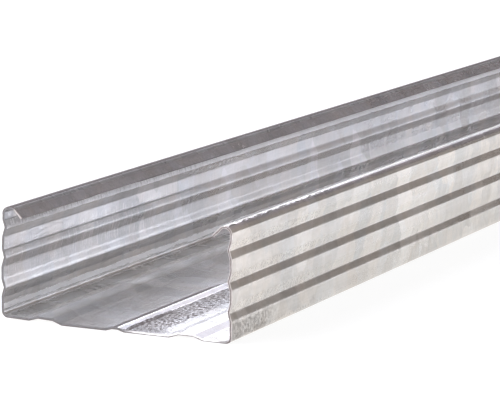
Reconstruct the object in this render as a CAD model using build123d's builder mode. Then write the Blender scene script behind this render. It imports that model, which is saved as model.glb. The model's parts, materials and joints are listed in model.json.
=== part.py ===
from build123d import *
import math
import os

# Drywall ceiling channel: one length of C section, roll-formed from galvanised strip.
# It lies on its web with its open side up. X runs along it, Y across it and Z up its flanges.
# The origin is the middle of the web's back face. All sizes are in millimetres.
# The section is drawn as the outer skin of the strip, from the middle of the web to the tip of
# one lip, and the strip's thickness is laid on the skin's inner side.

# Overall sizes
length = 2600.0
web_width = 60.0
flange_height = 27.0
sheet = 0.6

# Bends, by the radius on the inside of the bend
corner_radius = 1.0
roll_radius = 1.25
lip_bend_radius = 0.9

# Lips: how far the tips stand in from the flanges, and how far they hang below the rolls
lip_reach = 5.4
lip_drop = 3.0
lip_slope = 48.0

# Beads along each flange, pressed inwards to a rounded crest
flange_bead_width = 4.2
flange_bead_depth = 0.6
flange_bead_pitch = 7.15
flange_bead_start = 7.15
flange_bead_foot_radius = 1.4
flange_bead_crest_radius = 0.5
flange_bead_margin = 0.5

# Flat-topped beads near the two sides of the web, pressed inwards
side_bead_inset = 11.65
side_bead_width = 8.7
side_bead_top = 3.8
side_bead_depth = 0.8

# Narrow bead along the middle of the web
centre_bead_width = 4.8
centre_bead_top = 1.5
centre_bead_depth = 0.5

# Rounds of the web's beads, on the inside of each bend
web_bead_foot_radius = 0.7
web_bead_top_radius = 0.6

# Places that follow from the sizes above
flange_y = web_width / 2
side_bead_y = flange_y - side_bead_inset
flange_flat_top = flange_height - roll_radius - sheet


def web_corners():
    """Corners of the skin along half of the web, as (y, z, radius), up to the bend into the flange."""
    foot = web_bead_foot_radius + sheet
    corners = [
        (centre_bead_top / 2, centre_bead_depth, web_bead_top_radius),
        (centre_bead_width / 2, 0, foot),
        (side_bead_y - side_bead_width / 2, 0, foot),
        (side_bead_y - side_bead_top / 2, side_bead_depth, web_bead_top_radius),
        (side_bead_y + side_bead_top / 2, side_bead_depth, web_bead_top_radius),
        (side_bead_y + side_bead_width / 2, 0, foot),
        (flange_y, 0, corner_radius + sheet),
    ]
    return corners


def flange_corners():
    """Corners of the skin up one flange: foot, crest and foot of each bead that fits on its flat."""
    half = flange_bead_width / 2
    room = flange_flat_top - flange_bead_start - half - flange_bead_margin
    count = math.floor(room / flange_bead_pitch) + 1
    foot = flange_bead_foot_radius + sheet
    corners = []
    for step in range(count):
        z = flange_bead_start + step * flange_bead_pitch
        corners.append((flange_y, z - half, foot))
        corners.append((flange_y - flange_bead_depth, z, flange_bead_crest_radius))
        corners.append((flange_y, z + half, foot))
    return corners


def lip_corners():
    """Corners of the skin over the roll and down the lip; the last is the lip's outer edge."""
    slope = math.radians(lip_slope)
    run = (lip_drop - sheet * math.cos(slope)) / math.sin(slope)
    tip_y = flange_y - lip_reach
    bend_y = tip_y + run * math.cos(slope)
    corners = [
        (flange_y, flange_height, roll_radius + sheet),
        (bend_y, flange_height, lip_bend_radius + sheet),
        (tip_y, flange_height - run * math.sin(slope), 0),
    ]
    return corners


def laid_inside(skin, skin_radii):
    """Points and radii of the strip's inner side, one sheet thickness to the left of the skin."""
    directions = [(end - begin).normalized() for begin, end in zip(skin, skin[1:])]
    normals = [Vector(-direction.Y, direction.X) for direction in directions]
    inside = [skin[0] + normals[0] * sheet]
    inside_radii = []
    for corner, before, after, radius in zip(skin[1:], normals, normals[1:], skin_radii):
        inside.append(corner + (before + after) * (sheet / (1 + before.dot(after))))
        turns_left = before.cross(after).Z > 0
        inside_radii.append(radius - sheet if turns_left else radius + sheet)
    inside.append(skin[-1] + normals[-1] * sheet)
    return inside, inside_radii


# Half of the skin, which starts level on the middle line of the web
corners = web_corners() + flange_corners() + lip_corners()
skin = [Vector(0, centre_bead_depth)] + [Vector(y, z) for y, z, radius in corners]
skin_radii = [radius for y, z, radius in corners[:-1]]
inside, inside_radii = laid_inside(skin, skin_radii)

with BuildPart() as channel:
    with BuildSketch(Plane.YZ) as section:
        with BuildLine() as half:
            outer = FilletPolyline(*skin, radius=skin_radii)
            inner = FilletPolyline(*inside, radius=inside_radii)
            Line(outer @ 0, inner @ 0)
            Line(outer @ 1, inner @ 1)
        make_face()
        mirror(about=Plane.YZ)
    extrude(amount=length / 2, both=True)

channel.part.label = "channel"
os.makedirs("parts", exist_ok=True)
export_step(channel.part, "parts/channel.step")
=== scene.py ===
import json
import logging
import math
from dataclasses import dataclass, field
from enum import Enum
from typing import ClassVar

import bpy
import numpy as np
from mathutils import Matrix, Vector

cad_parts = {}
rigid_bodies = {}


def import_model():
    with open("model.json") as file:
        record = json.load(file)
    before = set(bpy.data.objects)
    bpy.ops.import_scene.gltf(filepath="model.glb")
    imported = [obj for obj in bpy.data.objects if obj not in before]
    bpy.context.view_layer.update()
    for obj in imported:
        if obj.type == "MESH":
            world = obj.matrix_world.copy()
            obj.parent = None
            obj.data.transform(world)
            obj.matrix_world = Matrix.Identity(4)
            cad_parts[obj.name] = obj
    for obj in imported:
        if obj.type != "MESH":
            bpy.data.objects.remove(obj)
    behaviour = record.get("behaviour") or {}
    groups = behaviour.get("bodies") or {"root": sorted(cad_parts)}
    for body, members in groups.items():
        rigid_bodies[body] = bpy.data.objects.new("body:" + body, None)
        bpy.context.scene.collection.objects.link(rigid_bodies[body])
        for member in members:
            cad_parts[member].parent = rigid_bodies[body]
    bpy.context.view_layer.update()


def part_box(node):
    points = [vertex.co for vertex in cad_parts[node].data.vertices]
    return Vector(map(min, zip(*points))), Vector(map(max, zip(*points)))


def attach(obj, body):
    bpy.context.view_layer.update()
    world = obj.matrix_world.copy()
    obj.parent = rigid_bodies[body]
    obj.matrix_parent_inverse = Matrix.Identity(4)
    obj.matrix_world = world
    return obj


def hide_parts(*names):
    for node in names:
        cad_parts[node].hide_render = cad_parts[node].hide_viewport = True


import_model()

# Looks of a drywall ceiling channel: one length of C section, roll-formed from galvanised strip.
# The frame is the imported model's: X along the channel, Y across it, Z up. Lengths are in metres, but
# a mark's are in millimetres.

log = logging.getLogger("channel")

Socket = bpy.types.NodeSocket
Value = Socket | float | tuple[float, ...]
Point = tuple[float, float, float]
Colour = tuple[float, float, float, float]

MM = 0.001

# Name of the map that lays the strip flat, and how far on it the inner skin lies past the outer one
PLAN_NAME = "strip_plan"
INNER_SKIN = 200 * MM

# Stretch along the strip that reaches past both of its ends, in millimetres
WHOLE_LENGTH = (-300.0, 2900.0)


class Coat(Enum):
    """Which surface of the strip a stretch of mesh belongs to."""

    ZINC = 0
    SHEARED = 1


class Graph:
    """Node tree of one material or world, with short ways to add the nodes that a finish needs."""

    def __init__(self, owner: bpy.types.Material | bpy.types.World) -> None:
        """Empties the owner's node tree.

        Args:
            owner: the material or world that gets the nodes.
        """
        owner.use_nodes = True
        self.tree = owner.node_tree
        self.tree.nodes.clear()

    def node(self, kind: str, inputs: dict[str | int, Value] | None = None,
             **settings: str) -> bpy.types.Node:
        """Adds one node.

        Args:
            kind: the node's type name, without its ShaderNode prefix.
            inputs: socket name or number to another node's output or to the socket's own value.
            settings: properties of the node, which are set first.

        Returns:
            The new node.
        """
        node = self.tree.nodes.new("ShaderNode" + kind)
        for name, setting in settings.items():
            setattr(node, name, setting)
        for name, value in (inputs or {}).items():
            if isinstance(value, Socket):
                self.tree.links.new(value, node.inputs[name])
            else:
                node.inputs[name].default_value = value
        return node

    def math(self, operation: str, *values: Value) -> Socket:
        """Adds a Math node, with values in the order of its sockets, and returns its output."""
        return self.node("Math", dict(enumerate(values)), operation=operation).outputs[0]

    def vector(self, x: Value, y: Value, z: Value = 0.0) -> Socket:
        """Joins three numbers or outputs into a vector output."""
        return self.node("CombineXYZ", {0: x, 1: y, 2: z}).outputs[0]

    def vectors(self, operation: str, first: Value, second: Value) -> Socket:
        """Adds a Vector Math node of two inputs, or of a vector and a factor for SCALE."""
        inputs = {0: first, "Scale" if operation == "SCALE" else 1: second}
        return self.node("VectorMath", inputs, operation=operation).outputs[0]

    def mix(self, share: Value, first: Value, second: Value) -> Socket:
        """Mixes two colours, from only the first at a share of 0 to only the second at 1."""
        inputs = {0: share, 6: first, 7: second}
        return self.node("Mix", inputs, data_type="RGBA").outputs[2]

    def swing(self, value: Value, span: float, middle: float) -> Socket:
        """Turns a value from 0 to 1 into one that swings about a middle by a span in all."""
        return self.math("MULTIPLY_ADD", value, span, middle - span / 2)

    def noise(self, at: Socket, scale: float, detail: float, roughness: float) -> Socket:
        """Reads fractal noise from 0 to 1 at a vector output, in whose units the scale is."""
        inputs = {"Vector": at, "Scale": scale, "Detail": detail, "Roughness": roughness}
        return self.node("TexNoise", inputs).outputs[0]

    def band(self, value: Value, low: float, high: float, to_low: float = 0.0,
             to_high: float = 1.0) -> Socket:
        """Maps low..high smoothly onto to_low..to_high and holds it level outside."""
        inputs = {"Value": value, 1: low, 2: high, 3: to_low, 4: to_high}
        return self.node("MapRange", inputs, interpolation_type="SMOOTHSTEP").outputs[0]

    def window(self, value: Socket, low: float, high: float, soft: float) -> Socket:
        """Gives 1 between low and high and 0 outside them, and fades over soft inside each."""
        rise = self.band(value, low, low + soft)
        return self.math("MULTIPLY", rise, self.band(value, high - soft, high, 1, 0))


def placed(name: str, data: bpy.types.Mesh | bpy.types.Light | bpy.types.Camera) -> bpy.types.Object:
    """Makes an object of a mesh, a light or a camera and links it into the scene.

    Args:
        name: the object's name.
        data: what it shows.

    Returns:
        The new object, at the origin.
    """
    thing = bpy.data.objects.new(name, data)
    bpy.context.scene.collection.objects.link(thing)
    return thing


def turned(place: np.ndarray, back: np.ndarray, up: Point) -> Matrix:
    """Works out the matrix of a lamp, a card or a camera from where it stands and faces.

    Its Z axis is the unit vector backwards, its X axis the unit vector along the cross product of
    up and Z, and its Y axis the cross product of Z and X.

    Args:
        place: where it stands.
        back: direction that its back faces.
        up: direction that its top is nearest to.

    Returns:
        The matrix.
    """
    back = back / np.linalg.norm(back)
    side = np.cross(up, back)
    side /= np.linalg.norm(side)
    matrix = np.eye(4)
    matrix[:3] = np.stack([side, np.cross(back, side), back, place], 1)
    return Matrix(matrix.tolist())


def spread(counts: np.ndarray) -> tuple[np.ndarray, np.ndarray]:
    """Spreads points evenly over several stretches, both ends of each included.

    Args:
        counts: points on each stretch.

    Returns:
        The stretch that each point is on, and its share of the way along it.
    """
    which = np.repeat(np.arange(len(counts)), counts)
    first = np.repeat(np.cumsum(counts) - counts, counts)
    return which, (np.arange(counts.sum()) - first) / (counts[which] - 1)


def smooth(value: np.ndarray, low: float, high: float) -> np.ndarray:
    """Smooth step from 0 at low to 1 at high: 3 t^2 - 2 t^3 of the clipped share t."""
    share = np.clip((value - low) / (high - low), 0, 1)
    return share * share * (3 - 2 * share)


def ragged(across: np.ndarray, along: np.ndarray) -> np.ndarray:
    """A jagged height between 0 and 1 over a long narrow face.

    It is 0.5 plus a sum of sine waves along the face, whose lengths have no common measure. Each
    is shifted to and fro by a slower wave that also changes across the face, and starts from an
    offset of its own.

    Args:
        across: place across the face.
        along: place along the face.

    Returns:
        The height at each place.
    """
    height = np.zeros(np.broadcast(across, along).shape)
    most_shift, change_across, slowness, offset = 1.7, 2.3, 0.61, 9
    for turns, size in ((0.37, 0.22), (1.13, 0.14), (2.71, 0.09), (5.33, 0.05)):
        shift = most_shift * np.sin(across * change_across + turns * along * slowness)
        height += size * np.sin(2 * np.pi * turns * along + shift + offset * turns)
    return height + 0.5


@dataclass(frozen=True)
class Plan:
    """The strip laid flat: its map's two coordinates in a material.

    They are metres of girth and of distance from the cut end. On sheared faces the second one is
    the depth into the strip, as a share of its thickness.
    """

    girth: Socket
    along: Socket

    @classmethod
    def read(cls, graph: Graph) -> "Plan":
        """Reads the strip's map in a material.

        Args:
            graph: the material's nodes.

        Returns:
            The plan.
        """
        plan = graph.node("UVMap", uv_map=PLAN_NAME).outputs[0]
        girth, along, _ = graph.node("SeparateXYZ", {0: plan}).outputs
        return cls(girth, along)

    def at(self, graph: Graph, size: tuple[float, float], sheet: float = 0.0) -> Socket:
        """The place on the plan in units of a pattern's own sizes.

        Args:
            graph: the material's nodes.
            size: the pattern's sizes round the girth and along the strip.
            sheet: which of many unlike sheets of the pattern is read.

        Returns:
            A vector output.
        """
        girth = graph.math("DIVIDE", self.girth, size[0])
        along = graph.math("DIVIDE", self.along, size[1])
        return graph.vector(girth, along, sheet)


@dataclass(frozen=True)
class Mark:
    """A place on the strip's plan with dirt, wear, painted shade or painted highlight in small specks, in
    millimetres.

    The girth runs round the strip from the -Y lip's tip, and the distance along it from the cut
    end. The soft borders lie within both. The grain is the size of the specks, and the cover tells
    how much of the mark they fill: about half of it at 0.5, and all of it from 2. The mark is on
    the outer skin unless it is inside.

    Specks lie where a fine noise is over a threshold. It has its bare level beside the mark, and
    in the mark it drops by its least drop and by its cover drop times the cover.
    """

    girth: tuple[float, float]
    along: tuple[float, float]
    soft: tuple[float, float]
    grain: tuple[float, float]
    cover: float
    strength: float
    inside: bool = False
    bare_level: ClassVar[float] = 0.8
    least_drop: ClassVar[float] = 0.2
    cover_drop: ClassVar[float] = 0.25
    speck_border: ClassVar[tuple[float, float]] = (-0.03, 0.09)

    def share(self, graph: Graph, plan: Plan) -> Socket:
        """How far a point is within the mark.

        Args:
            graph: the material's nodes.
            plan: the strip's plan.

        Returns:
            0 outside the mark and 1 in its middle.
        """
        skin = INNER_SKIN if self.inside else 0.0
        low, high = (edge * MM + skin for edge in self.girth)
        begin, end = (edge * MM for edge in self.along)
        across = graph.window(plan.girth, low, high, self.soft[0] * MM)
        return graph.math("MULTIPLY", across, graph.window(plan.along, begin, end, self.soft[1] * MM))

    def specks(self, graph: Graph, plan: Plan, sheet: float) -> Socket:
        """Lays the mark's specks.

        Args:
            graph: the material's nodes.
            plan: the strip's plan.
            sheet: number that keeps this mark's specks unlike those of the others.

        Returns:
            How far the zinc is hidden: 0 beside the specks and the mark's strength in them.
        """
        grain = (self.grain[0] * MM, self.grain[1] * MM)
        noise = graph.noise(plan.at(graph, grain, sheet), scale=1.0, detail=4.0, roughness=0.7)
        drop = self.least_drop + self.cover_drop * self.cover
        threshold = graph.math("MULTIPLY_ADD", self.share(graph, plan), -drop, self.bare_level)
        return graph.band(graph.math("SUBTRACT", noise, threshold), *self.speck_border, 0, self.strength)


@dataclass(frozen=True)
class Spangle:
    """Zinc crystals of one size: cells of a bent Voronoi pattern, each lit and tilted its own way.

    The contrast is how far the crystals differ in brightness, the tint how far they differ between
    warm and cool, the gloss how far they differ in roughness, and the tilt how far they lean, as a
    slope. Square crystals have borders that run along and across the strip.
    """

    cell: tuple[float, float]
    bend: float
    contrast: float
    tint: float
    gloss: float
    tilt: float
    square: bool = False

    def colours(self, graph: Graph, plan: Plan, sheet: float) -> Socket:
        """Gives each crystal a random colour, from which its brightness, gloss and lean are taken.

        Args:
            graph: the material's nodes.
            plan: the strip's plan.
            sheet: number that keeps these crystals unlike those of another size.

        Returns:
            The colour's socket.
        """
        at = plan.at(graph, self.cell, sheet)
        warp = graph.node("TexNoise", {"Vector": at, "Scale": 1.6, "Detail": 3.0, "Roughness": 0.6})
        bent = graph.vectors("ADD", at, graph.vectors("SCALE", warp.outputs["Color"], self.bend))
        inputs = {"Vector": bent, "Scale": 1.0}
        distance = "CHEBYCHEV" if self.square else "EUCLIDEAN"
        cells = graph.node("TexVoronoi", inputs, voronoi_dimensions="2D", distance=distance)
        return cells.outputs["Color"]


@dataclass(frozen=True)
class Streaks:
    """Noise drawn out one way over the strip: its size, contrast in brightness, and height."""

    size: tuple[float, float]
    contrast: float
    height: float


@dataclass(frozen=True)
class ZincFinish:
    """Hot-dip zinc on cold-rolled strip: flat crystals, streaks across and along, handling marks,
    and bands of painted shade and painted highlight.

    Marked zinc doesn't look metallic and is rougher by mark_roughness, and dirt marks and painted
    shade have no shine. Each noise is read on a sheet of its own. Sheets of one kind are
    spangle_sheet, streak_sheet or mark_sheet apart, and those of the worn marks and painted
    highlights begin at first_rub_and_highlight_sheet.
    """

    reflectance: Point = (0.835, 0.835, 0.835)
    roughness: float = 0.16
    metal_share: float = 0.7
    shine: float = 0.5
    mark_roughness: float = 0.25
    spangles: tuple[Spangle, ...] = (
        Spangle((16 * MM, 10 * MM), bend=0.3, contrast=0.21, tint=0.03, gloss=0.05, tilt=0.003, square=True),
        Spangle((8 * MM, 6 * MM), bend=0.5, contrast=0.13, tint=0.03, gloss=0.04, tilt=0.003, square=True),
        Spangle((2.2 * MM, 1.5 * MM), bend=0.6, contrast=0.07, tint=0.02, gloss=0.02, tilt=0.002),
    )
    spangle_sheet: float = 3.7
    streaks: tuple[Streaks, ...] = (
        Streaks((12 * MM, 0.8 * MM), contrast=0.12, height=0.0008 * MM),
        Streaks((0.4 * MM, 45 * MM), contrast=0.20, height=0.0008 * MM),
        Streaks((0.6 * MM, 0.6 * MM), contrast=0.14, height=0.0),
        Streaks((30 * MM, 40 * MM), contrast=0.20, height=0.0),
    )
    streak_sheet: float = 7.9
    # Colour of dirt marks and of painted shade; the next is that of worn marks and painted highlights
    stain_and_shade: Colour = (0.11, 0.092, 0.088, 1.0)
    rub_and_highlight: Colour = (0.95, 0.945, 0.96, 1.0)
    # Dirt marks, and some bands of painted shade, which say so below
    stains_and_painted_shade: tuple[Mark, ...] = (
        # On the web
        Mark((51.0, 61.2), (-20, 78), (1.4, 26), (0.6, 1.3), 0.6, 0.95, inside=True),
        Mark((60.0, 80.0), (-60, 160), (5.0, 60), (0.35, 9.0), 0.5, 0.25, inside=True),
        # Painted shade: a darker band along the +Y half of the web, over the whole length
        Mark((67.0, 78.0), WHOLE_LENGTH, (4.0, 300), (3.0, 30), 1.6, 0.22, inside=True),
        # Painted shade: a dark band along the web beside the +Y corner, over the whole length
        Mark((86.8, 92.0), WHOLE_LENGTH, (1.3, 300), (3.0, 40), 4.0, 0.4, inside=True),
        # On the inside of the +Y flange, up to the lip
        # Painted shade: a dark band low on the inside of the +Y flange, at the lowest bead, over the whole
        # length
        Mark((96.9, 98.9), WHOLE_LENGTH, (0.5, 300), (3.0, 40), 4.0, 0.4, inside=True),
        Mark((96.0, 119.0), (-60, 150), (4.0, 60), (5.0, 0.35), 0.35, 0.3, inside=True),
        Mark((100.5, 117.0), (-26, 46), (3.0, 26), (0.5, 5.0), 0.5, 0.3, inside=True),
        Mark((108.25, 108.75), (-60, 130), (0.15, 60), (0.6, 14), 1.8, 0.6, inside=True),
        Mark((111.6, 114.0), (-60, 130), (0.6, 60), (1.0, 12), 1.8, 0.3, inside=True),
        Mark((113.0, 126.0), (-20, 34), (2.0, 14), (2.2, 0.8), 0.8, 0.4, inside=True),
        # Under the -Y lip and roll, and on the outside of that roll and its flange
        Mark((-1.0, 9.0), (-20, 60), (1.0, 20), (0.8, 0.6), 1.2, 0.8, inside=True),
        Mark((4.25, 5.8), (-24, 75), (0.3, 24), (0.7, 2.0), 0.55, 0.9),
        Mark((5.0, 33.4), (-60, 90), (1.5, 60), (0.8, 0.7), 0.4, 0.2),
        Mark((27.6, 33.4), (-20, 34), (1.2, 20), (1.0, 0.5), 0.6, 0.5),
        # On top of the +Y roll and on its lip
        # The next two marks are painted shade: a dark band over the top of the +Y roll, over the whole length
        Mark((118.0, 123.4), WHOLE_LENGTH, (0.8, 300), (6.0, 9.0), 2.6, 0.5),
        Mark((119.4, 122.2), WHOLE_LENGTH, (0.6, 300), (6.0, 9.0), 4.0, 0.95),
        Mark((123.0, 127.0), WHOLE_LENGTH, (1.0, 300), (1.6, 1.3), 0.6, 0.3),
        # On the top of the web's middle bead and at its foot
        Mark((62.1, 63.4), (-24, 70), (0.3, 34), (1.2, 9.0), 2.4, 0.9, inside=True),
        Mark((58.6, 61.2), (-20, 36), (0.6, 18), (0.5, 1.5), 0.9, 0.95, inside=True),
    )
    # Worn marks, and some bands of painted highlight, which say so below
    rubs_and_painted_highlights: tuple[Mark, ...] = (
        # On the inside of the +Y flange and roll
        # Painted highlight: a light band at the +Y corner, inside, over the whole length
        Mark((93.6, 96.6), WHOLE_LENGTH, (1.3, 300), (0.5, 12), 1.1, 0.75, inside=True),
        Mark((101.0, 112.0), (-60, 120), (2.0, 60), (4.0, 0.4), 0.3, 0.3, inside=True),
        # Painted highlight: a light band on the inside of the +Y flange just under the lip, over the whole
        # length
        Mark((113.9, 116.2), WHOLE_LENGTH, (0.4, 300), (1.0, 9.0), 2.0, 0.7, inside=True),
        # On the +Y lip
        Mark((123.6, 127.0), WHOLE_LENGTH, (1.0, 300), (1.5, 2.5), 0.35, 0.2),
    )
    first_rub_and_highlight_sheet: float = 140.0
    mark_sheet: float = 5.3

    def crystals(self, graph: Graph, plan: Plan) -> tuple[Socket, Socket, Socket]:
        """Lays the spangles over one another.

        Args:
            graph: the material's nodes.
            plan: the strip's plan.

        Returns:
            Their colour, their roughness, and the normal that they lean to.
        """
        shade, rough, lean = self.reflectance, self.roughness, (0.5, 0.5, 1.0)
        for number, spangle in enumerate(self.spangles):
            colour = spangle.colours(graph, plan, self.spangle_sheet * number)
            red, green, blue = graph.node("SeparateColor", {0: colour}).outputs
            warmth = graph.swing(blue, spangle.tint, 0.0)
            tint = graph.vector(graph.math("ADD", 1.0, warmth), 1.0, graph.math("SUBTRACT", 1.0, warmth))
            lit = graph.vectors("SCALE", tint, graph.swing(red, spangle.contrast, 1.0))
            shade = graph.vectors("MULTIPLY", shade, lit)
            rough = graph.math("ADD", rough, graph.swing(green, spangle.gloss, 0.0))
            centred = graph.vectors("SUBTRACT", graph.vector(blue, red), (0.5, 0.5, 0))
            lean = graph.vectors("ADD", lean, graph.vectors("SCALE", centred, spangle.tilt))
        facing = graph.node("NormalMap", {"Color": lean}, space="TANGENT", uv_map=PLAN_NAME)
        return shade, rough, facing.outputs[0]

    def hidden(self, graph: Graph, plan: Plan, marks: tuple[Mark, ...], sheet: float) -> Socket:
        """How far some marks hide the zinc: the strongest of them at each place.

        Args:
            graph: the material's nodes.
            plan: the strip's plan.
            marks: the marks.
            sheet: number that keeps their specks unlike those of other marks.

        Returns:
            A number from 0 to 1.
        """
        share = 0.0
        for number, mark in enumerate(marks):
            specks = mark.specks(graph, plan, sheet + self.mark_sheet * number)
            share = graph.math("MAXIMUM", share, specks)
        return share

    def material(self) -> bpy.types.Material:
        """Builds the zinc's node material.

        Returns:
            The material.
        """
        material = bpy.data.materials.new("zinc_coat")
        graph = Graph(material)
        plan = Plan.read(graph)
        shade, rough, facing = self.crystals(graph, plan)
        level, height = 1.0, 0.0
        for number, streaks in enumerate(self.streaks):
            at = plan.at(graph, streaks.size, self.streak_sheet * number)
            noise = graph.noise(at, scale=1.0, detail=3.0, roughness=0.6)
            level = graph.math("MULTIPLY", level, graph.swing(noise, streaks.contrast, 1.0))
            height = graph.math("MULTIPLY_ADD", noise, streaks.height, height)
        shaded = graph.vectors("SCALE", shade, level)
        # Shares of dirt with painted shade, and of wear with painted highlights
        stain_and_shade_share = self.hidden(graph, plan, self.stains_and_painted_shade, 0.0)
        rub_and_highlight_share = self.hidden(graph, plan, self.rubs_and_painted_highlights, self.first_rub_and_highlight_sheet)
        dull = graph.math("MAXIMUM", stain_and_shade_share, rub_and_highlight_share)
        bump = graph.node("Bump", {"Distance": 1.0, "Height": height, "Normal": facing})
        inputs = {
            "Base Color": graph.mix(stain_and_shade_share, graph.mix(rub_and_highlight_share, shaded, self.rub_and_highlight), self.stain_and_shade),
            "Metallic": graph.band(dull, 0, 1, self.metal_share, 0),
            "Specular IOR Level": graph.band(stain_and_shade_share, 0, 1, self.shine, 0),
            "Roughness": graph.math("MULTIPLY_ADD", dull, self.mark_roughness, rough),
            "Normal": bump.outputs[0],
        }
        shader = graph.node("BsdfPrincipled", inputs)
        graph.node("OutputMaterial", {"Surface": shader.outputs[0]})
        return material


@dataclass(frozen=True)
class ShearedFinish:
    """Bare steel where the strip was cut: a torn line with smooth steel beside it.

    The torn line is given as shares of the thickness from the outer side. It lies next to that
    side, but on the -Y flange, up to front_girth, it lies in the middle of the edge. The smooth
    steel is light on that flange and on the +Y lip, brightest along the web up to bright_girth,
    where that colour is a painted reflection of white surroundings, and dull on the rest. A slow
    and a fast noise shift the line by up to wander. Their grains are measured along the edge and
    as a share of the thickness.
    """

    torn: Colour = (0.13, 0.10, 0.095, 1.0)
    light: Colour = (0.58, 0.545, 0.535, 1.0)
    # Painted reflection of white surroundings, on the cut edge along the -Y half of the web
    bright: Colour = (0.90, 0.89, 0.90, 1.0)
    dull: Colour = (0.21, 0.205, 0.21, 1.0)
    torn_roughness: float = 0.6
    smooth_roughness: float = 0.35
    torn_metal: float = 0.2
    smooth_metal: float = 0.8
    relief: float = 0.05 * MM
    front_girth: float = 33 * MM
    bright_girth: float = 61 * MM
    back_lip_girth: float = 122 * MM
    border: float = 2 * MM
    front_torn: tuple[float, float] = (0.36, 0.72)
    back_torn: tuple[float, float] = (-0.6, 0.27)
    torn_border: float = 0.1
    slow_grain: tuple[float, float] = (1 * MM, 1.0)
    fast_grain: tuple[float, float] = (1 * MM, 0.4)
    wander: float = 0.5

    def behind(self, graph: Graph, plan: Plan) -> Socket:
        """Tells the -Y flange's edge, 0, from the rest, 1, with a soft border."""
        return graph.band(plan.girth, self.front_girth - self.border, self.front_girth + self.border)

    def torn_share(self, graph: Graph, plan: Plan, fast: Socket) -> Socket:
        """How far a point is within the torn line.

        Args:
            graph: the material's nodes.
            plan: the strip's plan.
            fast: fine noise that makes the line's borders ragged.

        Returns:
            0 on smooth steel and 1 in the torn line.
        """
        slow = graph.noise(plan.at(graph, self.slow_grain), scale=0.22, detail=2.0, roughness=0.5)
        both = graph.math("ADD", slow, fast)
        shift = graph.math("MULTIPLY_ADD", both, self.wander, -self.wander)
        depth = graph.math("ADD", plan.along, shift)
        behind = self.behind(graph, plan)
        begin, end = (graph.band(behind, 0, 1, *edge) for edge in zip(self.front_torn, self.back_torn))
        soft = self.torn_border
        past = graph.band(graph.math("SUBTRACT", depth, begin), -soft, soft)
        return graph.math("MULTIPLY", past, graph.band(graph.math("SUBTRACT", depth, end), -soft, soft, 1, 0))

    def smooth_steel_and_painted_reflection(self, graph: Graph, plan: Plan) -> Socket:
        """Colour of the smooth steel round the strip, with a painted reflection on the web's -Y half.

        Args:
            graph: the material's nodes.
            plan: the strip's plan.

        Returns:
            The colour's socket.
        """
        front = graph.math("SUBTRACT", 1.0, self.behind(graph, plan))
        lip = graph.band(plan.girth, self.back_lip_girth, self.back_lip_girth + self.border / 2)
        steel = graph.mix(graph.math("MAXIMUM", front, lip), self.dull, self.light)
        # Painted reflection: the brightest colour along the -Y half of the web
        web = graph.window(plan.girth, self.front_girth, self.bright_girth, 2 * self.border)
        return graph.mix(web, steel, self.bright)

    def material(self) -> bpy.types.Material:
        """Builds the cut steel's node material.

        Returns:
            The material.
        """
        material = bpy.data.materials.new("sheared_steel")
        graph = Graph(material)
        plan = Plan.read(graph)
        fast = graph.noise(plan.at(graph, self.fast_grain), scale=1.7, detail=3.0, roughness=0.6)
        torn = self.torn_share(graph, plan, fast)
        height = graph.math("MULTIPLY", fast, self.relief)
        inputs = {
            "Base Color": graph.mix(torn, self.smooth_steel_and_painted_reflection(graph, plan), self.torn),
            "Metallic": graph.band(torn, 0, 1, self.smooth_metal, self.torn_metal),
            "Roughness": graph.band(torn, 0, 1, self.smooth_roughness, self.torn_roughness),
            "Normal": graph.node("Bump", {"Distance": 1.0, "Height": height}).outputs[0],
        }
        shader = graph.node("BsdfPrincipled", inputs)
        graph.node("OutputMaterial", {"Surface": shader.outputs[0]})
        return material


@dataclass(frozen=True)
class Skin:
    """A path round the strip's outer side, from the -Y lip's tip to the +Y lip's tip.

    Its rows are y and z of each point, and of the unit vector there into the strip.
    """

    points: np.ndarray
    inward: np.ndarray

    def girth(self) -> np.ndarray:
        """Distance along the path from its first point to each point."""
        return np.concatenate([[0.0], np.cumsum(np.hypot(*np.diff(self.points, axis=0).T))])


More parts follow.
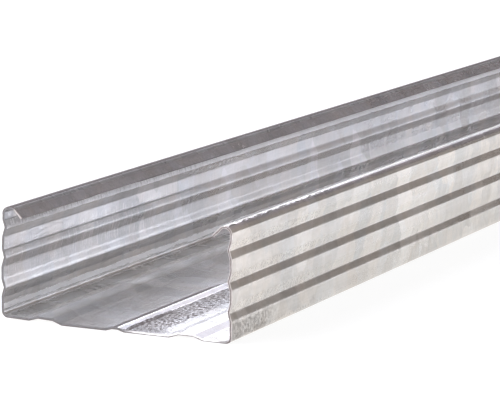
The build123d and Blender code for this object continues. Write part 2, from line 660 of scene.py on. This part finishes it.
@dataclass(frozen=True)
class Section:
    """Cross-section of the strip, by the corners of its outer skin. Sizes are in metres."""

    width: float
    height: float
    sheet: float = 0.6 * MM
    corner_radius: float = 1.0 * MM
    roll_radius: float = 1.25 * MM
    lip_bend_radius: float = 0.9 * MM
    lip_reach: float = 5.4 * MM
    lip_drop: float = 3.0 * MM
    lip_slope: float = math.radians(48)
    flange_bead_width: float = 4.2 * MM
    flange_bead_depth: float = 0.6 * MM
    flange_bead_heights: tuple[float, ...] = (7.15 * MM, 14.3 * MM, 21.45 * MM)
    flange_bead_foot_radius: float = 1.4 * MM
    flange_bead_crest_radius: float = 0.5 * MM
    side_bead_inset: float = 11.65 * MM
    side_bead_width: float = 8.7 * MM
    side_bead_top: float = 3.8 * MM
    side_bead_depth: float = 0.8 * MM
    centre_bead_width: float = 4.8 * MM
    centre_bead_top: float = 1.5 * MM
    centre_bead_depth: float = 0.5 * MM
    web_bead_foot_radius: float = 0.7 * MM
    web_bead_top_radius: float = 0.6 * MM
    arc_step: float = math.radians(9)
    run_step: float = 0.45 * MM

    def half_corners(self) -> np.ndarray:
        """Corners of the outer skin from the middle of the web to the tip of the +Y lip.

        Returns:
            Rows of y, z and the radius on the inside of the bend.
        """
        side = self.width / 2
        bead = side - self.side_bead_inset
        web = [
            (self.centre_bead_top / 2, self.centre_bead_depth, self.web_bead_top_radius),
            (self.centre_bead_width / 2, 0, self.web_bead_foot_radius),
            (bead - self.side_bead_width / 2, 0, self.web_bead_foot_radius),
            (bead - self.side_bead_top / 2, self.side_bead_depth, self.web_bead_top_radius),
            (bead + self.side_bead_top / 2, self.side_bead_depth, self.web_bead_top_radius),
            (bead + self.side_bead_width / 2, 0, self.web_bead_foot_radius),
            (side, 0, self.corner_radius),
        ]
        half = self.flange_bead_width / 2
        crest = side - self.flange_bead_depth
        flange = [
            (y, z + shift, radius)
            for z in self.flange_bead_heights
            for y, shift, radius in (
                (side, -half, self.flange_bead_foot_radius),
                (crest, 0, self.flange_bead_crest_radius),
                (side, half, self.flange_bead_foot_radius),
            )
        ]
        cos, sin = math.cos(self.lip_slope), math.sin(self.lip_slope)
        run = (self.lip_drop - self.sheet * cos) / sin
        tip = side - self.lip_reach
        lip = [
            (side, self.height, self.roll_radius),
            (tip + run * cos, self.height, self.lip_bend_radius),
            (tip, self.height - run * sin, 0),
        ]
        return np.array(web + flange + lip)

    def skin(self) -> Skin:
        """Outer skin from the -Y lip's tip to the +Y lip's tip, with every bend rounded.

        Each straight run ends where a bend's arc begins, at the bend's radius times the tangent of
        half its turn from the corner. A point of an arc is its start, plus the radius times the
        change in the skin's inward normal, taken with the sign of the turn. Points are spread
        evenly along each run and each arc.

        Returns:
            The skin.
        """
        half = self.half_corners()
        corners = np.concatenate([half[::-1] * (-1, 1, 1), half])
        points, inside = corners[:, :2], corners[1:-1, 2]
        steps = np.diff(points, axis=0)
        heading = steps / np.hypot(*steps.T)[:, None]
        facing = np.stack([-heading[:, 1], heading[:, 0]], 1)
        before, after = heading[:-1], heading[1:]
        cross = before[:, 0] * after[:, 1] - before[:, 1] * after[:, 0]
        turn = np.arctan2(cross, (before * after).sum(1))
        radius = inside + np.where(turn > 0, self.sheet, 0)
        tangent = radius * np.tan(np.abs(turn) / 2)
        begins = points[1:-1] - before * tangent[:, None]
        ends = points[1:-1] + after * tangent[:, None]

        arc, share = spread(np.ceil(np.abs(turn) / self.arc_step).astype(int) + 1)
        angle = np.arctan2(before[arc, 1], before[arc, 0]) + turn[arc] * share
        arc_facing = np.stack([-np.sin(angle), np.cos(angle)], 1)
        bend = (radius * np.sign(turn))[arc, None]
        arcs = begins[arc] + bend * (facing[arc] - arc_facing)

        runs_from = np.concatenate([points[:1], ends])
        runs_to = np.concatenate([begins, points[-1:]])
        lengths = np.hypot(*(runs_to - runs_from).T)
        run, share = spread(np.ceil(lengths / self.run_step).astype(int) + 1)
        inner = (share > 0) & (share < 1)
        run, share = run[inner], share[inner, None]
        runs = runs_from[run] * (1 - share) + runs_to[run] * share

        # Each arc comes after the run of its own number, and before the next run
        sort = np.argsort(np.concatenate([run, arc + 0.5]), kind="stable")
        path = np.concatenate([runs, arcs])[sort]
        inward = np.concatenate([facing[run], arc_facing])[sort]
        return Skin(
            points=np.concatenate([points[:1], path, points[-1:]]),
            inward=np.concatenate([inward[:1], inward, inward[-1:]]),
        )


@dataclass(frozen=True)
class EndSet:
    """How the strip has sprung at the end where it was cut, compared with its even section.

    The +Y corner stands a little high, the +Y flange leans in and the -Y lip is bent less far in.
    The lean and the lip fade out over a short reach, and the corner's rise over a long one. The
    fields that end in y or z are the two places of the section between which a shift sets in, and
    level_z those between which the corner's rise ends again, up the flange.
    """

    corner_rise: float = 0.48 * MM
    rise_y: tuple[float, float] = (12 * MM, 29 * MM)
    level_z: tuple[float, float] = (21 * MM, 27 * MM)
    flange_lean: float = 0.45 * MM
    lean_y: tuple[float, float] = (20 * MM, 24 * MM)
    lean_z: tuple[float, float] = (9 * MM, 25 * MM)
    lip_shift: float = 0.35 * MM
    lip_rise: float = 0.35 * MM
    lip_y: tuple[float, float] = (-30 * MM, -26 * MM)
    lip_z: tuple[float, float] = (22 * MM, 24 * MM)
    tip_y: tuple[float, float] = (-27 * MM, -24.6 * MM)
    reach: float = 75 * MM
    long_reach: float = 500 * MM

    def bend(self, points: np.ndarray, begin: float) -> np.ndarray:
        """Moves points of the even strip to where they sit on the sprung one.

        Every shift is its size, times the fade e^(-distance / reach) with its own reach, times
        smooth steps from 0 to 1 between two places of the section.

        Args:
            points: rows of x, y and z.
            begin: the x of the cut end.

        Returns:
            The moved points.
        """
        x, y, z = points.T
        fade, long_fade = np.exp(-(x - begin) / self.reach), np.exp(-(x - begin) / self.long_reach)
        rise = smooth(y, *self.rise_y) * (1 - smooth(z, *self.level_z))
        lean = smooth(y, *self.lean_y) * smooth(z, *self.lean_z)
        lip = smooth(y, *self.lip_y) * smooth(z, *self.lip_z) * (y < 0)
        tip = smooth(y, *self.tip_y) * (z > self.lip_z[0]) * (y < 0)
        shift_y = -(self.flange_lean * lean + self.lip_shift * lip) * fade
        shift_z = self.corner_rise * rise * long_fade + self.lip_rise * tip * fade
        return np.stack([x, y + shift_y, z + shift_z], 1)


@dataclass(frozen=True)
class ChannelStrip:
    """The channel itself: the section carried along the length, closed at both cut ends."""

    section: Section
    begin: float
    end: float
    end_set: EndSet = field(default_factory=EndSet)
    zinc: ZincFinish = field(default_factory=ZincFinish)
    sheared: ShearedFinish = field(default_factory=ShearedFinish)
    cut_layers: int = 5
    cut_roughness: float = 0.07 * MM
    cut_grain: float = 3.0
    first_stations: tuple[float, ...] = (0, 0.4 * MM, 1.2 * MM, 3 * MM, 6 * MM)
    close_stations: tuple[float, float, float] = (10 * MM, 400 * MM, 8 * MM)
    last_close_stations: int = 4
    middle_stations: int = 28
    crease_angle: float = math.radians(40)

    def stations(self) -> np.ndarray:
        """Works out the places along X where the section is repeated.

        They are closest at both cut ends, evenly close over the stretch that close_stations gives
        by its begin, end and step, and spread evenly between that and the last few.

        Returns:
            The places, from the cut end in the photograph to the other one.
        """
        length = self.end - self.begin
        first = np.array(self.first_stations)
        front = np.arange(*self.close_stations)
        back = length - front[:self.last_close_stations][::-1]
        middle = np.linspace(front[-1], back[0], self.middle_stations + 2)[1:-1]
        return self.begin + np.concatenate([first, front, middle, back, length - first[::-1]])

    def ids(self, skins: int, rows: int) -> tuple[np.ndarray, np.ndarray]:
        """Numbers the vertices of the skins, the slit tips and the two cut faces.

        Args:
            skins: points on each skin.
            rows: stations along the length.

        Returns:
            The rings' vertices, by station and place round the ring, and the cut faces' vertices,
            by end, layer from the outer skin to the inner one, and place along the skin.
        """
        inner_layers = self.cut_layers - 1
        ring = 2 * skins + 2 * inner_layers
        rings = np.arange(rows * ring).reshape(rows, ring)
        within = np.arange(2 * inner_layers * (skins - 2)).reshape(2, inner_layers, -1)
        ends = rings[[0, -1]]
        cut = np.empty((2, self.cut_layers + 1, skins), int)
        cut[:, 1:-1, 1:-1] = rings.size + within
        cut[:, 0] = ends[:, :skins]
        cut[:, 1:-1, -1] = ends[:, skins:skins + inner_layers]
        cut[:, -1] = ends[:, skins + inner_layers:2 * skins + inner_layers][:, ::-1]
        cut[:, 1:-1, 0] = ends[:, 2 * skins + inner_layers:][:, ::-1]
        return rings, cut

    def build(self) -> bpy.types.Object:
        """Builds the strip's closed surface.

        A ring of points runs along the outer skin, through the thickness at one lip's tip, back
        along the inner skin and through the thickness at the other tip. Rings at all stations are
        joined by quads, and layers of quads through the thickness close both ends.

        Returns:
            The mesh object, at the origin.
        """
        skin = self.section.skin()
        girth = skin.girth()
        layers = np.linspace(0, 1, self.cut_layers + 1)
        grid = skin.points + skin.inward * (layers * self.section.sheet)[:, None, None]
        x = self.stations()
        rings, cut = self.ids(len(girth), len(x))

        ring = np.concatenate([grid[0], grid[1:-1, -1], grid[-1, ::-1], grid[-2:0:-1, 0]])
        points = np.empty((cut.max() + 1, 3))
        points[rings.ravel(), 0] = np.repeat(x, len(ring))
        points[rings.ravel(), 1:] = np.tile(ring, (len(x), 1))
        points[cut[0], 1:] = points[cut[1], 1:] = grid
        points[cut[0], 0], points[cut[1], 0] = self.begin, self.end
        rough = self.cut_roughness * ragged(layers[:, None] * self.cut_grain, girth[None] / MM)
        points[cut[0], 0] += rough
        points[cut[1], 0] -= rough[:, ::-1]
        points = self.end_set.bend(points, self.begin)

        nearer, farther = rings[:-1], rings[1:]
        sides = np.stack([nearer, np.roll(nearer, -1, 1), np.roll(farther, -1, 1), farther], -1)
        caps = np.stack([cut[:, :-1, :-1], cut[:, 1:, :-1], cut[:, 1:, 1:], cut[:, :-1, 1:]], -1)
        caps[1] = caps[1, ..., ::-1]
        faces = np.concatenate([sides.reshape(-1, 4), caps.reshape(-1, 4)])

        mesh = bpy.data.meshes.new("channel_strip")
        mesh.from_pydata(points.tolist(), [], faces.tolist())
        mesh.shade_smooth()
        mesh.set_sharp_from_angle(angle=self.crease_angle)
        self.dress(mesh, girth, layers, x)
        return placed("channel_strip", mesh)

    def dress(self, mesh: bpy.types.Mesh, girth: np.ndarray, layers: np.ndarray, x: np.ndarray) -> None:
        """Gives the faces their materials and the map that the finishes follow.

        On the skins the map holds the girth and the distance from the cut end, in metres, with the
        inner skin moved on by INNER_SKIN. On sheared faces it holds the place along the edge and
        the depth into the thickness as a share.

        Args:
            mesh: the strip's mesh, with its side faces first and its cut faces last.
            girth: distance along the outer skin to each of its points.
            layers: shares of the thickness that have vertices.
            x: the stations.
        """
        skins, inner_layers = len(girth), self.cut_layers - 1
        begins = np.concatenate([girth, layers[1:-1], girth[::-1] + INNER_SKIN, layers[-2:0:-1]])
        ends = np.roll(begins, -1)
        slots = np.full((len(x) - 1, len(begins)), Coat.SHEARED.value)
        slots[:, :skins - 1] = Coat.ZINC.value
        slots[:, skins + inner_layers:2 * skins + inner_layers - 1] = Coat.ZINC.value

        tips = np.flatnonzero(slots[0] == Coat.SHEARED.value)
        depths = np.concatenate([layers[:-1], layers[:0:-1]])
        begins[tips], ends[tips] = depths, np.roll(depths, -1)
        along = x - self.begin
        plan = np.empty((*slots.shape, 4, 2))
        plan[..., 0] = np.stack([begins, ends, ends, begins], -1)
        plan[..., 1] = np.stack([along[:-1], along[:-1], along[1:], along[1:]], -1)[:, None]
        plan[:, tips] = plan[:, tips][..., ::-1]

        cut = np.stack(np.meshgrid(girth, layers), -1)
        cap = np.stack([cut[:-1, :-1], cut[1:, :-1], cut[1:, 1:], cut[:-1, 1:]], -2)
        plans = np.concatenate([plan.reshape(-1, 2), cap.reshape(-1, 2), cap[..., ::-1, :].reshape(-1, 2)])
        mesh.uv_layers.new(name=PLAN_NAME).uv.foreach_set("vector", plans.astype(np.float32).ravel())

        mesh.materials.append(self.zinc.material())
        mesh.materials.append(self.sheared.material())
        every = np.full(len(mesh.polygons), Coat.SHEARED.value, np.int32)
        every[:slots.size] = slots.ravel()
        mesh.polygons.foreach_set("material_index", every)


@dataclass(frozen=True)
class Panel:
    """A flat rectangle of the studio that faces the cut end: a soft lamp or a dark card.

    It is placed by the direction in which the cut end sees it, from +X towards +Y and upwards, in
    degrees.
    """

    name: str
    bearing: float
    elevation: float
    distance: float
    width: float
    height: float

    def matrix(self, aim: Point) -> Matrix:
        """Works out where the panel stands.

        Args:
            aim: the point that it faces.

        Returns:
            A matrix whose -Z axis points at the aim and whose Y axis is upwards.
        """
        bearing, elevation = math.radians(self.bearing), math.radians(self.elevation)
        flat = math.cos(elevation)
        back = np.array([flat * math.cos(bearing), flat * math.sin(bearing), math.sin(elevation)])
        return turned(np.array(aim) + back * self.distance, back, (0.0, 0.0, 1.0))

    def lamp(self, aim: Point, level: float, colour: Point) -> None:
        """Hangs the panel as a soft lamp that the camera doesn't see.

        Its power is the level times pi times the panel's area.

        Args:
            aim: the point that it faces.
            level: how bright its face is, where a lit white wall is 1.
            colour: the light's red, green and blue.
        """
        light = bpy.data.lights.new(self.name, "AREA")
        light.shape, light.size, light.size_y = "RECTANGLE", self.width, self.height
        light.color = colour
        light.energy = level * math.pi * self.width * self.height
        lamp = placed(self.name, light)
        lamp.matrix_world = self.matrix(aim)
        lamp.visible_camera = False

    def card(self, aim: Point, colour: Colour) -> None:
        """Stands the panel as a matt card that the camera doesn't see.

        Args:
            aim: the point that it faces.
            colour: the card's colour.
        """
        across = np.array([-1, 1, 1, -1]) * self.width / 2
        upward = np.array([-1, -1, 1, 1]) * self.height / 2
        flat = np.stack([across, upward, np.zeros(4), np.ones(4)])
        corners = (np.array(self.matrix(aim)) @ flat)[:3].T
        mesh = bpy.data.meshes.new(self.name)
        mesh.from_pydata(corners.tolist(), [], [(0, 1, 2, 3)])
        material = bpy.data.materials.new(self.name)
        graph = Graph(material)
        shader = graph.node("BsdfDiffuse", {"Color": colour})
        graph.node("OutputMaterial", {"Surface": shader.outputs[0]})
        mesh.materials.append(material)
        card = placed(self.name, mesh)
        card.visible_camera = False


@dataclass(frozen=True)
class Studio:
    """Floor, lamps, cards and surroundings of a plain white product studio.

    Each lamp has its level, and each card its colour. To the camera and in reflections the floor
    is a glow plus a faint paper, which takes the lamps' light and the object's shadow. To all
    other rays it is the plain paper.
    """

    aim: Point
    floor_side: float = 120.0
    paper: Colour = (0.87, 0.83, 0.77, 1)
    faint_paper: Colour = (0.20, 0.20, 0.20, 1)
    seen_glow: Colour = (0.89, 0.89, 0.89, 1)
    mirrored_glow: Colour = (0.82, 0.785, 0.75, 1)
    surroundings_level: float = 0.35
    lamp_colour: Point = (0.88, 0.885, 1.0)
    lamps: tuple[tuple[Panel, float], ...] = (
        (Panel("window_lamp", bearing=100, elevation=32, distance=3.0, width=7.4, height=4.2), 3.5),
        (Panel("back_window_lamp", bearing=36, elevation=28, distance=3.2, width=1.75, height=1.4), 4.2),
        (Panel("doorway_lamp", bearing=17.5, elevation=21.5, distance=3.3, width=0.62, height=0.75), 0.9),
    )
    cards: tuple[tuple[Panel, Colour], ...] = (
        (Panel("low_dark_card", bearing=-38, elevation=15, distance=3.6, width=2.8, height=1.9),
         (0.20, 0.165, 0.13, 1)),
        (Panel("high_dark_card", bearing=2, elevation=38, distance=3.8, width=2.7, height=3.9),
         (0.15, 0.12, 0.12, 1)),
    )

    def white_backed(self, graph: Graph) -> Socket:
        """Tells apart the rays that show the background: camera, glossy and transmission rays.

        Args:
            graph: the nodes of the floor or of the surroundings.

        Returns:
            1 for those rays and 0 for others.
        """
        path = graph.node("LightPath").outputs
        seen = graph.math("MAXIMUM", path["Is Camera Ray"], path["Is Glossy Ray"])
        return graph.math("MAXIMUM", seen, path["Is Transmission Ray"])

    def floor(self) -> None:
        """Lays a pale level floor, white to the camera apart from the object's soft shadow."""
        half = self.floor_side / 2
        corners = [(-half, -half, 0), (half, -half, 0), (half, half, 0), (-half, half, 0)]
        mesh = bpy.data.meshes.new("studio_floor")
        mesh.from_pydata(corners, [], [(0, 1, 2, 3)])
        material = bpy.data.materials.new("studio_paper")
        graph = Graph(material)
        plain = graph.node("BsdfDiffuse", {"Color": self.paper})
        faint = graph.node("BsdfDiffuse", {"Color": self.faint_paper})
        mirrored = graph.node("LightPath").outputs["Is Glossy Ray"]
        look = graph.mix(mirrored, self.seen_glow, self.mirrored_glow)
        glow = graph.node("Emission", {"Color": look, "Strength": 1.0})
        bright = graph.node("AddShader", {0: faint.outputs[0], 1: glow.outputs[0]})
        inputs = {0: self.white_backed(graph), 1: plain.outputs[0], 2: bright.outputs[0]}
        mixed = graph.node("MixShader", inputs)
        graph.node("OutputMaterial", {"Surface": mixed.outputs[0]})
        mesh.materials.append(material)
        floor = placed("studio_floor", mesh)

    def surroundings(self) -> None:
        """Makes white surroundings, dimmer as a light source than as a background."""
        world = bpy.data.worlds.new("studio")
        bpy.context.scene.world = world
        graph = Graph(world)
        strength = graph.band(self.white_backed(graph), 0, 1, self.surroundings_level, 1.0)
        background = graph.node("Background", {"Color": (1, 1, 1, 1), "Strength": strength})
        graph.node("OutputWorld", {"Surface": background.outputs[0]})

    def build(self) -> None:
        """Sets up the whole studio around the aim."""
        self.floor()
        self.surroundings()
        for panel, level in self.lamps:
            panel.lamp(self.aim, level, self.lamp_colour)
        for panel, colour in self.cards:
            panel.card(self.aim, colour)


@dataclass(frozen=True)
class Viewpoint:
    """The camera, at the photograph's angle and field of view, with its lens in millimetres."""

    place: Point = (-1.865848, -0.304118, 0.142361)
    forward: Point = (0.88937, 0.42395, -0.17114)
    up: Point = (0.15238, 0.07805, 0.98524)
    lens: float = 205.3
    clip: tuple[float, float] = (0.02, 200.0)

    def build(self) -> None:
        """Makes the camera and gives it to the scene."""
        data = bpy.data.cameras.new("camera")
        data.lens = self.lens
        data.clip_start, data.clip_end = self.clip
        camera = placed("camera", data)
        camera.matrix_world = turned(np.array(self.place), -np.array(self.forward), self.up)
        bpy.context.scene.camera = camera


def main() -> None:
    """Builds the channel and its studio."""
    logging.basicConfig(level=logging.INFO, format="%(name)s: %(message)s")
    low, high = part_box("channel")
    section = Section(width=high.y - low.y, height=high.z - low.z)
    piece = ChannelStrip(section, low.x, high.x).build()
    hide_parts("channel")
    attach(piece, "root")
    log.info("%s: %d faces", piece.name, len(piece.data.polygons))
    Studio(aim=(low.x, 0.0, 0.0)).build()
    Viewpoint().build()
    bpy.context.scene.view_settings.view_transform = "Standard"


if __name__ == "__main__":
    main()
